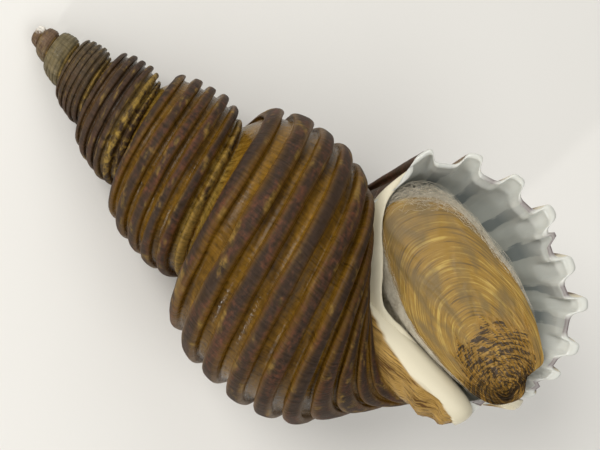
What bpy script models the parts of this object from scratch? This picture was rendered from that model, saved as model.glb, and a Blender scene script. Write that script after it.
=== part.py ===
# Grammatus whelk shell, lying on its back, with its horny operculum stuck on a wad of cotton.
#
# The shell is a dextral spiral. Its outline at the lip is given cord by cord, and every earlier stage of
# growth is that outline made smaller and turned back about the coiling axis. A place on the shell is two
# numbers: turns, 0 at the lip and negative towards the tip, and cord, 0 at the suture and 1, 2, 3 ... on
# the crests of the spiral cords.
#
# Lengths are in millimetres. Until lay_down() turns it, the shell has its axis along +X from the tip
# at the origin, +Y towards the outer lip, and +Z out of the aperture.

import math

import bmesh
import bpy
from mathutils import Matrix, Vector

MM = 0.001

# Growth: one turn back makes the whorl this much shorter and narrower, and the first turns are pressed
# together at the tip.
AXIAL_GROWTH = 1.65
RADIAL_GROWTH = 1.53
TURNS = 7
STEPS_PER_TURN = 30
TIP_SHIFT = 2.5
TIP_FADE = 10.7

# The spire's axis is slightly bent to the left, and its whorls are fuller low down than the last one.
SPIRE_BEND = 0.5
SPIRE_BEND_SPAN = (6.0, 54.0)
SPIRE_FULLNESS = 0.075

# Crests of the cords at the lip as (distance from the tip along the axis, radius), then their heights.
CORD_CRESTS = [
    (67.0, 27.2), (75.3, 31.1), (82.6, 31.9), (89.9, 32.0), (97.2, 30.2),
    (103.4, 27.0), (108.0, 21.1), (111.1, 16.3), (113.4, 12.2), (115.1, 8.9),
]
CORD_HEIGHTS = [0.0, 2.5, 2.9, 2.9, 2.9, 2.9, 2.9, 2.6, 2.2, 1.8, 1.3]
CORD_HALF_WIDTH = 0.25
CORD_FOOT = 0.29
LIP_HALF_WIDTH = 0.15
LIP_FOOT = 0.34

# The next whorl grows from the lower shoulder of the sixth cord.
WELD_CORD = 6.0 + CORD_HALF_WIDTH
SHOULDER_LIFT = 0.92

# The neck runs from below the tenth cord to the end of the columella.
NECK_START = 10.4
NECK_END = 12.0
NECK_SHARES = (0.0, 0.13, 0.27, 0.4, 0.53, 0.66, 0.8, 0.92)
NECK_RIDGE = 0.45
COLUMELLA_TIP = (103.0, 0.0)
COLUMELLA_BLUNTNESS = 4.8
PILLAR_WAIST = 0.65

# Spread of the lip beyond the spiral, cord by cord as (axial, radial), over the last part of a turn.
LIP_SPREAD = [
    (2.6, 1.2), (-1.2, 2.4), (-2.4, 4.0), (-1.4, 5.2), (-0.6, 4.7), (1.0, 1.9),
    (1.4, 1.4), (1.1, 0.1), (-1.3, -0.8), (-4.6, -2.4), (-8.6, -2.0),
]
SPREAD_TURNS = 0.13
LIP_ADVANCE = 0.013

# White callus on the inner lip: where its edge lies by cord, in turns, and how thick it is.
CALLUS_EDGE = [(6.2, -0.95), (8.6, -0.92), (10.4, -0.87), (10.7, -0.77), (11.3, -0.69), (11.8, -0.6)]
CALLUS_FADE = 0.05
CALLUS_LIFT = 0.65
CALLUS_THICKNESS = 0.8

# The aperture's hollow: turns back from the lip, wall thickness, and how far the cords show inside.
HOLLOW_RINGS = [
    (0.006, 1.5, 0.70), (0.035, 1.9, 0.50), (0.07, 2.2, 0.25), (0.11, 2.4, 0.0),
    (0.16, 2.5, 0.0), (0.22, 2.6, 0.0), (0.28, 2.8, 0.0), (0.33, 3.2, 0.0),
]
HOLLOW_TOP_CORD = 6.55
PARIETAL_CORDS = [6.9, 7.7, 8.6, 9.5]
PILLAR_STEPS = 4
PILLAR_SHARE_NEAR = 0.80
PILLAR_SHARE_FAR = 0.60

# Operculum: its outline from the front as (axial, sideways), then its surface.
OPERCULUM_OUTLINE = [
    (67.3, 17.8), (69.9, 22.8), (74.5, 25.5), (80.2, 25.5), (85.8, 24.4), (92.6, 22.8),
    (98.6, 20.2), (103.4, 16.8), (106.4, 12.9), (106.6, 8.6), (104.4, 5.2), (100.8, 4.1),
    (95.8, 3.9), (90.0, 4.1), (84.2, 4.9), (79.0, 6.7), (74.0, 9.8), (70.0, 13.0),
]
OPERCULUM_POINTS = 30
OPERCULUM_NUCLEUS = (100.5, 10.5)
OPERCULUM_RINGS = (1.0, 0.93, 0.68, 0.36)
OPERCULUM_THICKNESS = 1.8
OPERCULUM_EDGE_HEIGHT = 2.4
OPERCULUM_DOME = 1.8
OPERCULUM_RISE = 3.2

# Cotton wad: its layers go back from the operculum into the hollow, in step with the hollow's rings.
FIT_GAP = 0.4
COTTON_POINTS = 24
COTTON_CENTRE = (87.0, 15.5)
COTTON_FRONT = 0.90
COTTON_RINGS = [(1, 0.80), (2, 0.86), (3, 0.94), (4, 1.0), (5, 1.0)]

# The shell lies on its back with its tip down. In degrees, then how deep its lowest spots are worn flat.
REST_PITCH = -20.1
REST_ROLL = 15.4
REST_WEAR = 0.9


def smooth(x):
    x = min(max(x, 0.0), 1.0)
    return x * x * (3 - 2 * x)


def spline(values, at):
    """Catmull-Rom through values, one for each whole number, carried on straight past the last."""
    last = len(values) - 1
    if at > last:
        return [c + (c - b) * (at - last) for b, c in zip(values[-2], values[-1])]
    i = min(int(at), last - 1)
    t = at - i
    before = values[i - 1] if i > 0 else [2 * b - c for b, c in zip(values[0], values[1])]
    after = values[i + 2] if i + 2 <= last else [2 * c - b for b, c in zip(values[-2], values[-1])]
    return [
        0.5 * (2 * b + (c - a) * t + (2 * a - 5 * b + 4 * c - d) * t * t + (3 * b - a - 3 * c + d) * t ** 3)
        for a, b, c, d in zip(before, values[i], values[i + 1], after)
    ]


def between(table, at):
    """Straight interpolation in a table of (place, value)."""
    if at <= table[0][0]:
        return table[0][1]
    for (x0, y0), (x1, y1) in zip(table, table[1:]):
        if at <= x1:
            return y0 + (y1 - y0) * (at - x0) / (x1 - x0)
    return table[-1][1]


def crest_line(cord, suture):
    return spline([suture] + CORD_CRESTS, cord)


def outward(cord, suture):
    """Unit normal of the crest line, pointing away from the axis."""
    a, b = crest_line(cord, suture), crest_line(cord + 0.05, suture)
    along, out = b[0] - a[0], b[1] - a[1]
    length = math.hypot(along, out)
    return -out / length, along / length


def on_profile(cord, lift, suture):
    """Profile at the lip: lift is 0 on the floor of the channels and 1 on the crests."""
    axial, radial = crest_line(cord, suture)
    n_axial, n_radial = outward(cord, suture)
    sunk = spline([[h] for h in CORD_HEIGHTS], cord)[0] * (1 - lift)
    return [axial - sunk * n_axial, radial - sunk * n_radial]


def find_suture():
    """The suture is the weld point of the whorl before, one turn smaller."""
    axial, radial = on_profile(WELD_CORD, SHOULDER_LIFT, CORD_CRESTS[0])
    return [axial / AXIAL_GROWTH, radial / RADIAL_GROWTH]


SUTURE = find_suture()


def spread(turns):
    return max(1 + turns / SPREAD_TURNS, 0.0) ** 2


def relief(turns):
    """Share of the cords' height that is left: the oldest whorls are worn smooth."""
    return 0.25 + 0.75 * smooth((turns + 5.6) / 2.0)


def fullness(turns, cord):
    return 1 + SPIRE_FULLNESS * smooth((-1.05 - turns) / 0.35) * smooth((cord - 2.0) / 3.5)


def callus(turns, cord):
    """1 inside the white callus's edge and 0 outside it."""
    if cord < WELD_CORD:
        return 0.0
    return smooth((between(CALLUS_EDGE, cord) - turns) / CALLUS_FADE)


def grown(turns, cord, axial, radial):
    """A point of the lip's outline at an earlier stage of growth."""
    d_axial, d_radial = spline(LIP_SPREAD, cord)
    axial = (axial + spread(turns) * d_axial) * AXIAL_GROWTH ** turns
    radial = (radial + spread(turns) * d_radial) * RADIAL_GROWTH ** turns * fullness(turns, cord)
    return [axial - TIP_SHIFT * math.exp(-axial / TIP_FADE), radial]


def neck(turns, share):
    """From the end of the cords along the columella to its tip, thinner inside the aperture than outside
    it, with low ridges where the callus doesn't cover it."""
    start = grown(turns, NECK_START, *on_profile(NECK_START, 0.4, SUTURE))
    tip_a, tip_r = COLUMELLA_TIP
    girth = PILLAR_WAIST + (1 - PILLAR_WAIST) * smooth((turns + 1) / 0.3)
    one = (start[0] + 0.5 * (tip_a - start[0]), start[1] * 1.05 * girth)
    two = (tip_a, COLUMELLA_BLUNTNESS * (0.3 + 0.7 * girth))
    k = 1 - share
    axial, radial = (
        k ** 3 * a + 3 * k * k * share * b + 3 * k * share ** 2 * c + share ** 3 * d
        for a, b, c, d in zip(start, one, two, COLUMELLA_TIP)
    )
    white = callus(turns, NECK_START + share * (NECK_END - NECK_START))
    ridge = NECK_RIDGE * math.sin(2 * math.pi * 3.8 * share)
    bump = (CALLUS_THICKNESS * white + ridge * (1 - white)) * smooth(4 * share * k)
    return [axial, radial + bump]


def section(turns, cord, lift):
    """A place on the outside as (axial, radius)."""
    if cord > NECK_START:
        return neck(turns, (cord - NECK_START) / (NECK_END - NECK_START))
    lift += (CALLUS_LIFT - lift) * callus(turns, cord)
    return grown(turns, cord, *on_profile(cord, 1 - (1 - lift) * relief(turns), SUTURE))


def turned(turns, axial, radial):
    """A section's point in space: earlier turns go down behind the aperture."""
    angle = 2 * math.pi * (-turns - LIP_ADVANCE * spread(turns))
    low, high = SPIRE_BEND_SPAN
    bend = SPIRE_BEND * math.sin(math.pi * min(max((axial - low) / (high - low), 0.0), 1.0)) ** 2
    return Vector((axial, radial * math.cos(angle) - bend, -radial * math.sin(angle)))


def cord_points(turns, last, detail):
    """(key, cord, lift) across the cords: key is the same from row to row, cord narrows at the lip."""
    wide = CORD_HALF_WIDTH + (LIP_HALF_WIDTH - CORD_HALF_WIDTH) * spread(turns)
    foot = CORD_FOOT + (LIP_FOOT - CORD_FOOT) * spread(turns)
    shapes = {
        "round": [(-CORD_FOOT, -foot, 0.0), (-CORD_HALF_WIDTH, -wide, SHOULDER_LIFT), (0.0, 0.0, 1.03),
                  (CORD_HALF_WIDTH, wide, SHOULDER_LIFT), (CORD_FOOT, foot, 0.0)],
        "flat": [(-CORD_FOOT, -foot, 0.0), (-CORD_HALF_WIDTH, -wide, 1.0), (CORD_HALF_WIDTH, wide, 1.0),
                 (CORD_FOOT, foot, 0.0)],
        "low": [(-0.5, -0.5, 0.0), (0.0, 0.0, 1.0)],
    }
    points = []
    for number in range(1, len(CORD_CRESTS) + 1):
        points += [(number + key, number + shift, lift) for key, shift, lift in shapes[detail]]
    return [p for p in points if 0.5 < p[0] < last]


def row_shape(turns):
    """(key, cord, lift) from the suture to the weld or, on the last whorl, to the end of the neck."""
    start = [(0.0, 0.0, 1.0)]
    if turns > -1.001:
        places = [NECK_START + (NECK_END - NECK_START) * share for share in NECK_SHARES]
        return start + cord_points(turns, NECK_START - 0.05, "round") + [(p, p, 0.0) for p in places]
    end = [(WELD_CORD, WELD_CORD, 1.0)]
    if turns > -3.001:
        return start + cord_points(turns, WELD_CORD - 0.01, "flat") + end
    if turns > -4.001:
        return start + cord_points(turns, WELD_CORD - 0.1, "low") + end
    count = 6 if turns > -5.001 else 4
    places = [WELD_CORD * i / count for i in range(1, count)]
    return start + [(p, p, 0.8) for p in places] + end


def add_face(mesh, *corners):
    """A face over the corners that are apart, if three are left."""
    kept = [c for k, c in enumerate(corners) if c is not corners[k - 1]]
    if len(kept) > 2:
        mesh.faces.new(kept)


def stitch(mesh, one, two):
    """Fills between two rows of (key, vertex), always taking the shorter step."""
    i = j = 0
    while i < len(one) - 1 or j < len(two) - 1:
        step_one = one[i + 1][0] if i < len(one) - 1 else math.inf
        step_two = two[j + 1][0] if j < len(two) - 1 else math.inf
        if abs(step_one - step_two) < 1e-9:
            add_face(mesh, one[i][1], one[i + 1][1], two[j + 1][1], two[j][1])
            i, j = i + 1, j + 1
        elif step_one < step_two:
            add_face(mesh, one[i][1], one[i + 1][1], two[j][1])
            i += 1
        else:
            add_face(mesh, one[i][1], two[j + 1][1], two[j][1])
            j += 1


def close_loop(mesh, loop, centre):
    """A fan from a loop of vertices to a new one at centre."""
    middle = mesh.verts.new(centre)
    for k, vertex in enumerate(loop):
        add_face(mesh, loop[k - 1], vertex, middle)


def average(vertices):
    return sum((v.co for v in vertices), Vector()) / len(vertices)


def weld_vertex(row):
    return min(row, key=lambda p: abs(p[0] - WELD_CORD))[1]


def outside(mesh):
    """Rows of (key, vertex) over the outside, from the tip to the lip, joined to each other."""
    rows = []
    columella_end = mesh.verts.new(turned(0, *COLUMELLA_TIP))
    for step in range(TURNS * STEPS_PER_TURN + 1):
        turns = step / STEPS_PER_TURN - TURNS
        row = []
        for key, cord, lift in row_shape(turns):
            if key == 0.0 and step >= STEPS_PER_TURN:
                vertex = weld_vertex(rows[step - STEPS_PER_TURN])
            else:
                vertex = mesh.verts.new(turned(turns, *section(turns, cord, lift)))
            row.append((key, vertex))
        if turns > -1.001:
            row.append((NECK_END, columella_end))
        if rows:
            older_end = rows[-1][-1][0]
            stitch(mesh, rows[-1], [p for p in row if p[0] <= older_end])
        rows.append(row)
    first = [v for key, v in rows[0]]
    close_loop(mesh, first + [rows[k][0][1] for k in range(STEPS_PER_TURN - 1, 0, -1)], (-0.6, 0, 0))
    return rows


def wall_inside(turns, cord, thickness, ribs):
    """Inside of the outer wall: the outside's outline moved in by the wall, with the cords half showing."""
    lift = ribs * (0.5 + 0.5 * math.cos(2 * math.pi * cord))
    n_axial, n_radial = outward(cord, SUTURE)
    axial, radial = grown(turns, cord, *on_profile(cord, lift, SUTURE))
    return axial - thickness * n_axial, radial - thickness * n_radial


def hollow_section(turns, thickness, ribs):
    """The hollow's outline as (key, point): the outer wall, and the older whorl with the pillar."""
    before = turns - 1
    end = PILLAR_SHARE_NEAR + (PILLAR_SHARE_FAR - PILLAR_SHARE_NEAR) * smooth(-turns / 0.3)
    top = section(before, HOLLOW_TOP_CORD, CALLUS_LIFT)
    corner = (NECK_END, neck(before, end))
    cords = [c / 2 for c in range(2, 2 * len(CORD_CRESTS) + 1)]
    wall = [(0.0, top)] + [(c, wall_inside(turns, c, thickness, ribs)) for c in cords] + [corner]
    inner = [(WELD_CORD, top)] + [(c, section(before, c, CALLUS_LIFT)) for c in PARIETAL_CORDS]
    for k in range(1, PILLAR_STEPS + 1):
        share = k / (PILLAR_STEPS + 1)
        inner.append((NECK_START + (NECK_END - NECK_START) * share, neck(before, end * share)))
    return wall, inner + [corner]


def hollow(mesh, rows):
    """The aperture's hollow, from the outer and inner lips back into the last whorl."""
    inner_lip = rows[-1 - STEPS_PER_TURN]
    outer = rows[-1]
    inner = [p for p in inner_lip if p[1] is weld_vertex(inner_lip) or p[0] > WELD_CORD]
    for back, thickness, ribs in HOLLOW_RINGS:
        wall, parietal = hollow_section(-back, thickness, ribs)
        new_outer = [(key, mesh.verts.new(turned(-back, *point))) for key, point in wall]
        new_inner = [(key, mesh.verts.new(turned(-back, *point))) for key, point in parietal[1:-1]]
        new_inner = [(WELD_CORD, new_outer[0][1])] + new_inner + [new_outer[-1]]
        stitch(mesh, outer, new_outer)
        stitch(mesh, inner, new_inner)
        outer, inner = new_outer, new_inner
    loop = [v for key, v in outer] + [v for key, v in reversed(inner[1:-1])]
    close_loop(mesh, loop, average(loop))


def build_shell():
    mesh = bmesh.new()
    rows = outside(mesh)
    hollow(mesh, rows)
    return mesh


def closed_curve(points, count):
    """Points spaced along a closed Catmull-Rom curve through a few points."""
    around = [points[-1]] + points + [points[0], points[1]]
    return [spline(around, 1 + len(points) * k / count) for k in range(count)]


def operculum_height(axial, sideways, share):
    """Top of the operculum above the shell's axis. share is 0 at the nucleus and 1 at the edge."""
    along = (axial - OPERCULUM_OUTLINE[0][0]) / (OPERCULUM_NUCLEUS[0] - OPERCULUM_OUTLINE[0][0])
    return OPERCULUM_EDGE_HEIGHT + OPERCULUM_RISE * along + OPERCULUM_DOME * (1 - share ** 2)


def operculum_ring(mesh, share, drop):
    ring = []
    for edge in closed_curve(OPERCULUM_OUTLINE, OPERCULUM_POINTS):
        axial, sideways = (n + (e - n) * share for n, e in zip(OPERCULUM_NUCLEUS, edge))
        ring.append(mesh.verts.new((axial, sideways, operculum_height(axial, sideways, share) - drop)))
    return ring


def build_operculum():
    """A plate between two domed faces that meet along a rounded edge."""
    mesh = bmesh.new()
    tops = [operculum_ring(mesh, share, 0.0) for share in reversed(OPERCULUM_RINGS[1:])]
    edge = [operculum_ring(mesh, OPERCULUM_RINGS[0], OPERCULUM_THICKNESS / 3)]
    bottoms = [operculum_ring(mesh, share, OPERCULUM_THICKNESS) for share in OPERCULUM_RINGS[1:]]
    rings = tops + edge + bottoms
    for one, two in zip(rings, rings[1:]):
        join_loops(mesh, one, two)
    peak = operculum_height(*OPERCULUM_NUCLEUS, 0.0)
    close_loop(mesh, rings[0], (*OPERCULUM_NUCLEUS, peak))
    close_loop(mesh, rings[-1], (*OPERCULUM_NUCLEUS, peak - OPERCULUM_THICKNESS))
    return mesh


def join_loops(mesh, one, two):
    for k in range(len(one)):
        mesh.faces.new((one[k - 1], one[k], two[k], two[k - 1]))


def reach(outline, centre, angle):
    """Distance from centre to an outline of points in the direction of angle."""
    ray = (math.cos(angle), math.sin(angle))
    nearest = math.inf
    for k, (x1, y1) in enumerate(outline):
        x0, y0 = outline[k - 1]
        edge = (x1 - x0, y1 - y0)
        cross = ray[0] * edge[1] - ray[1] * edge[0]
        if abs(cross) > 1e-9:
            distance = ((x0 - centre[0]) * edge[1] - (y0 - centre[1]) * edge[0]) / cross
            share = ((x0 - centre[0]) * ray[1] - (y0 - centre[1]) * ray[0]) / cross
            if distance > 0 and -1e-6 <= share <= 1 + 1e-6:
                nearest = min(nearest, distance)
    return nearest


def cotton_layer(mesh, number, fill):
    """One layer of the wad: the hollow's section from its centre, drawn in by fill and the gap."""
    back, thickness, _ = HOLLOW_RINGS[number]
    wall, inner = hollow_section(-back, thickness, 0.0)
    outline = [point for key, point in wall] + [point for key, point in reversed(inner[1:-1])]
    centre = (COTTON_CENTRE[0] * AXIAL_GROWTH ** -back, COTTON_CENTRE[1] * RADIAL_GROWTH ** -back)
    layer = []
    for k in range(COTTON_POINTS):
        angle = 2 * math.pi * k / COTTON_POINTS
        away = reach(outline, centre, angle) * fill
        away -= FIT_GAP * 1.3 * smooth(0.5 + math.sin(angle) * 2) + 1.5 * smooth(0.5 - math.sin(angle) * 2)
        place = (centre[0] + away * math.cos(angle), centre[1] + away * math.sin(angle))
        layer.append(mesh.verts.new(turned(-back, *place)))
    return layer


def build_cotton():
    """A wad that carries the operculum and sits on the outer wall, deep in the hollow."""
    mesh = bmesh.new()
    outline = closed_curve(OPERCULUM_OUTLINE, 4 * COTTON_POINTS)
    front = []
    for k in range(COTTON_POINTS):
        angle = 2 * math.pi * k / COTTON_POINTS
        away = reach(outline, COTTON_CENTRE, angle) * COTTON_FRONT
        axial = COTTON_CENTRE[0] + away * math.cos(angle)
        sideways = COTTON_CENTRE[1] + away * math.sin(angle)
        height = operculum_height(axial, sideways, COTTON_FRONT) - OPERCULUM_THICKNESS - FIT_GAP - 0.3
        front.append(mesh.verts.new((axial, sideways, height)))
    layers = [front] + [cotton_layer(mesh, number, fill) for number, fill in COTTON_RINGS]
    for one, two in zip(layers, layers[1:]):
        join_loops(mesh, one, two)
    close_loop(mesh, layers[0], average(layers[0]))
    close_loop(mesh, layers[-1], average(layers[-1]))
    return mesh


def lay_down(meshes):
    """Turns the pieces to where they lie, tip towards -X, centres them and wears the lowest spots flat."""
    pitch = Matrix.Rotation(math.radians(REST_PITCH), 4, "Y")
    roll = Matrix.Rotation(math.radians(REST_ROLL), 4, "X")
    for mesh in meshes:
        mesh.transform(pitch @ roll)
    corners = [[pick(v.co[k] for mesh in meshes for v in mesh.verts) for k in range(3)] for pick in (min, max)]
    middle = [(low + high) / 2 for low, high in zip(*corners)]
    ground = corners[0][2] + REST_WEAR
    for mesh in meshes:
        for vertex in mesh.verts:
            x, y, z = vertex.co - Vector((middle[0], middle[1], ground))
            vertex.co = Vector((x, y, max(z, 0.0))) * MM


def make_material(name, colour, roughness):
    material = bpy.data.materials.new(name)
    material.use_nodes = True
    shader = material.node_tree.nodes["Principled BSDF"]
    shader.inputs["Base Color"].default_value = (*colour, 1.0)
    shader.inputs["Roughness"].default_value = roughness
    shader.inputs["Metallic"].default_value = 0.0
    return material


def finish_object(mesh, name, material, collection):
    bmesh.ops.recalc_face_normals(mesh, faces=mesh.faces)
    data = bpy.data.meshes.new(name)
    mesh.to_mesh(data)
    mesh.free()
    data.materials.append(material)
    data.shade_smooth()
    data.set_sharp_from_angle(angle=math.radians(40))
    collection.objects.link(bpy.data.objects.new(name, data))


def main():
    for leftover in list(bpy.data.objects):
        bpy.data.objects.remove(leftover)
    collection = bpy.data.collections.new("grammatus whelk shell")
    bpy.context.scene.collection.children.link(collection)
    periostracum = make_material("shell brown", (0.09, 0.045, 0.02), 0.45)
    horn = make_material("operculum horn", (0.42, 0.24, 0.06), 0.6)
    cotton = make_material("cotton", (0.75, 0.74, 0.7), 0.95)
    shell, operculum, cotton_wad = build_shell(), build_operculum(), build_cotton()
    lay_down([shell, operculum, cotton_wad])
    finish_object(shell, "shell", periostracum, collection)
    finish_object(operculum, "operculum", horn, collection)
    finish_object(cotton_wad, "cotton_wad", cotton, collection)


main()
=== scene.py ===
import math
import bmesh
import bpy
import numpy as np
from mathutils import Matrix, Vector


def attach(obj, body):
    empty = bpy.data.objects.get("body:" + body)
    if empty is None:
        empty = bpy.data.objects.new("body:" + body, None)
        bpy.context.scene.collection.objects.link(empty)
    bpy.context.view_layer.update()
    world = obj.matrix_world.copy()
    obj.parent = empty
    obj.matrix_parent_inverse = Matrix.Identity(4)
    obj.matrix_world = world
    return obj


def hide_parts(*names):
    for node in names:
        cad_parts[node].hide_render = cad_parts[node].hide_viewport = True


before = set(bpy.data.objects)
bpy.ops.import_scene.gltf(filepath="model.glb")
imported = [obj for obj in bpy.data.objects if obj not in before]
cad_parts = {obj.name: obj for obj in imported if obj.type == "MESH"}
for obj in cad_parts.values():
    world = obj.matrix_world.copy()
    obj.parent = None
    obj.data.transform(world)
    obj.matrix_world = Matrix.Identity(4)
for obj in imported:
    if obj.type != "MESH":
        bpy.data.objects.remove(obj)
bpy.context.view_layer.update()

# Looks of a grammatus whelk shell with its operculum on cotton wool.
# A place on the shell is (turns, cord): turns is 0 at the lip and negative towards the tip, cord is 0 at
# the suture and a whole number on each cord's crest. Lengths are millimetres about the coiling axis, which
# is +X from the tip, with +Y towards the outer lip and +Z out of the aperture, until toFrame() lays them
# down. A value given as (start, span) is for ramp().

growth = {
    "axial": 1.65, "radial": 1.53, "turns": 7,  # one turn back is this much shorter and narrower
    "tipShift": 2.5, "tipFade": 10.7,  # the first turns are pressed together
    "bend": 0.5, "bendSpan": (6.0, 54.0),  # how far the spire bows sideways, and between which places
    "fullness": 0.075, "fullTurns": (-1.05, -0.35), "fullCords": (2.0, 3.5),  # the spire is fuller low down
    "leastRelief": 0.12, "reliefTurns": (-5.1, 2.2),  # the oldest whorls are worn smooth
    "crests": [(67.0, 27.2), (75.3, 31.1), (82.6, 31.9), (89.9, 32.0), (97.2, 30.2),
               (103.4, 27.0), (108.0, 21.1), (111.1, 16.3), (113.4, 12.2), (115.1, 8.9)],
    "heights": [0.0, 2.5, 2.9, 2.9, 2.9, 2.9, 2.9, 2.6, 2.2, 1.8, 1.3],
    "weldCord": 6.25, "weldLift": 0.92,  # the next whorl grows from here
    "neckStart": 10.4, "neckEnd": 12.0, "neckLift": 0.4, "columellaTip": (103.0, 0.0), "bluntness": 4.8,
    "waist": 0.42, "waistTurns": (-1.0, 0.3), "neckWaves": 3.8, "neckRidge": 0.5, "neckGrain": 0.6,
    "lipSpread": [(2.6, 1.2), (-1.2, 2.4), (-2.4, 4.0), (-1.4, 5.2), (-0.6, 4.7), (1.0, 1.9),
                  (1.4, 1.4), (1.1, 0.1), (-1.3, -0.8), (-4.6, -2.4), (-8.6, -2.0)],
    "spreadTurns": 0.13, "lipAdvance": 0.013,
    "callusEdge": [(6.2, -0.95), (7.4, -0.93), (8.6, -0.91), (10.4, -0.83), (10.55, -0.74), (10.8, -0.695),
                   (11.2, -0.69), (11.45, -0.64), (11.6, -0.54), (11.75, -0.4), (11.9, -0.18), (12.0, 0.0)],
    "callusFade": 0.02, "callusLift": 0.65, "callusThickness": 0.4, "callusSwell": 0.35,
    "patternLength": 400.0, "cordSpacing": 7.5,  # mm at the lip, for patterns
    "pitch": -20.1, "roll": 15.4, "place": (-51.499, -4.698, 2.592),  # how and where it lies
}

# The camera is where the photograph was taken from: straight into the aperture.
view = {"target": (57.9, 5.3, 0.0), "distance": 177.7, "right": (0.75, 0.6614, 0.0),
        "lens": 60.0, "sensor": 36.0}

rng = np.random.default_rng(11)
noiseTable = rng.random((8, 64, 64))


def smooth(x):
    # 3 times the square less twice the cube: 0 at 0, 1 at 1, flat at both ends and beyond them
    x = np.clip(x, 0.0, 1.0)
    return x * x * (3 - 2 * x)


def ramp(x, start, span):
    # 0 at start and 1 a span further on, smooth between; a negative span rises the other way
    return smooth((x - start) / span)


def mix(a, b, share):
    # a, plus the share of the way from a to b
    return a + (b - a) * share


def curve(table, at):
    # Catmull-Rom through the table's rows, one for each whole number, carried on straight past the last
    table = np.asarray(table, float).reshape(len(table), -1)
    full = np.vstack([2 * table[:1] - table[1:2], table, 2 * table[-1:] - table[-2:-1]])
    at = np.asarray(at, float)
    i = np.clip(np.floor(at).astype(int), 0, len(table) - 2)
    t = np.minimum(at - i, 1.0)[..., None]
    a, b, c, d = full[i], full[i + 1], full[i + 2], full[i + 3]
    inside = 0.5 * (2 * b + (c - a) * t + (2 * a - 5 * b + 4 * c - d) * t ** 2
                    + (3 * b - a - 3 * c + d) * t ** 3)
    return inside + (table[-1] - table[-2]) * np.maximum(at - (len(table) - 1), 0)[..., None]


def noise(x, y, layer=0):
    # random values from -1 to 1 on a grid of whole numbers, smoothed between them, repeating after 64
    x, y = np.broadcast_arrays(x, y)
    i, j = np.floor(x).astype(int), np.floor(y).astype(int)
    fx, fy = smooth(x - i), smooth(y - j)
    table = noiseTable[layer]
    low = mix(table[i % 64, j % 64], table[(i + 1) % 64, j % 64], fx)
    high = mix(table[i % 64, (j + 1) % 64], table[(i + 1) % 64, (j + 1) % 64], fx)
    return 2 * mix(low, high, fy) - 1


def rough(x, y, layer=0):
    # noise, plus half as much at half the size, plus a quarter at a quarter
    half, quarter = noise(2 * x + 7, 2 * y, layer), noise(4 * x, 4 * y + 5, layer)
    return (noise(x, y, layer) + half / 2 + quarter / 4) / 1.75


def spread(turns):
    # how far the lip flares: 1 at the lip, falling as a square to 0 over the last part of a turn
    return np.maximum(1 + turns / growth["spreadTurns"], 0) ** 2


def relief(turns):
    # share of the cords' height that is left
    return mix(growth["leastRelief"], 1, ramp(turns, *growth["reliefTurns"]))


def outward(cord):
    # unit normal of the crest line, pointing away from the axis
    along = curve(crests, cord + 0.05) - curve(crests, cord)
    along /= np.linalg.norm(along, axis=-1, keepdims=True)
    return np.stack([-along[..., 1], along[..., 0]], -1)


def profile(cord, lift):
    # crest line, sunk along its normal by (1 - lift) of the cord's height
    sunk = outward(cord) * curve(growth["heights"], cord) * (1 - np.asarray(lift))[..., None]
    return curve(crests, cord) - sunk


crests = [(64.0, 16.6)] + growth["crests"]
crests[0] = tuple(profile(np.array(growth["weldCord"]), growth["weldLift"])
                  / np.array([growth["axial"], growth["radial"]]))


def grown(turns, cord, point):
    # a point of the lip's outline at an earlier stage: the flare is taken off, and then it shrinks by a
    # constant factor a turn, faster along the axis than across it
    point = point + spread(turns)[..., None] * curve(growth["lipSpread"], cord)
    fullness = 1 + growth["fullness"] * ramp(turns, *growth["fullTurns"]) * ramp(cord, *growth["fullCords"])
    axial = point[..., 0] * growth["axial"] ** turns
    radial = point[..., 1] * growth["radial"] ** turns * fullness
    return np.stack([axial - growth["tipShift"] * np.exp(-axial / growth["tipFade"]), radial], -1)


def callus(turns, cord):
    # 1 inside the white callus's edge and 0 outside it
    edge = np.interp(cord, *zip(*growth["callusEdge"]))
    return smooth((edge - turns) / growth["callusFade"]) * (cord >= growth["weldCord"])


def neck(turns, cord):
    # Bezier from the end of the cords to the columella's tip, thinner inside the aperture, with low ridges
    turns, cord = np.broadcast_arrays(turns, cord)
    share = np.clip((cord - growth["neckStart"]) / (growth["neckEnd"] - growth["neckStart"]), 0, 1)
    first = np.full(turns.shape, growth["neckStart"])
    start = grown(turns, first, profile(first, np.full(turns.shape, growth["neckLift"])))
    tip = np.array(growth["columellaTip"])
    girth = mix(growth["waist"], 1, ramp(turns, *growth["waistTurns"]))
    one = np.stack([mix(start[..., 0], tip[0], 0.5), start[..., 1] * 1.05 * girth], -1)
    two = np.stack([np.full(turns.shape, tip[0]), growth["bluntness"] * (0.3 + 0.7 * girth)], -1)
    s = share[..., None]
    point = (1 - s) ** 3 * start + 3 * (1 - s) ** 2 * s * one + 3 * (1 - s) * s ** 2 * two + s ** 3 * tip
    white = callus(turns, cord)
    phase = 2 * np.pi * growth["neckWaves"] * share + 1.5 * rough(share * 3, turns * 9, 5)
    ridge = growth["neckRidge"] * np.sin(phase) + growth["neckGrain"] * rough(share * 16, turns * 34, 3)
    edge = growth["callusSwell"] * np.exp(-((white - 0.75) / 0.25) ** 2)  # the callus swells along its edge
    bump = growth["callusThickness"] * white + edge * (white > 0.02) + ridge * (1 - white)
    point[..., 1] += bump * smooth(4 * share * (1 - share))
    return point


def section(turns, cord, lift):
    # a place on the outside as (axial, radius)
    turns, cord, lift = np.broadcast_arrays(turns, cord, lift)
    white = callus(turns, cord)
    lift = mix(lift, growth["callusLift"], white)
    body = grown(turns, cord, profile(cord, 1 - (1 - lift) * relief(turns)))
    return np.where((cord > growth["neckStart"])[..., None], neck(turns, cord), body)


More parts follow.
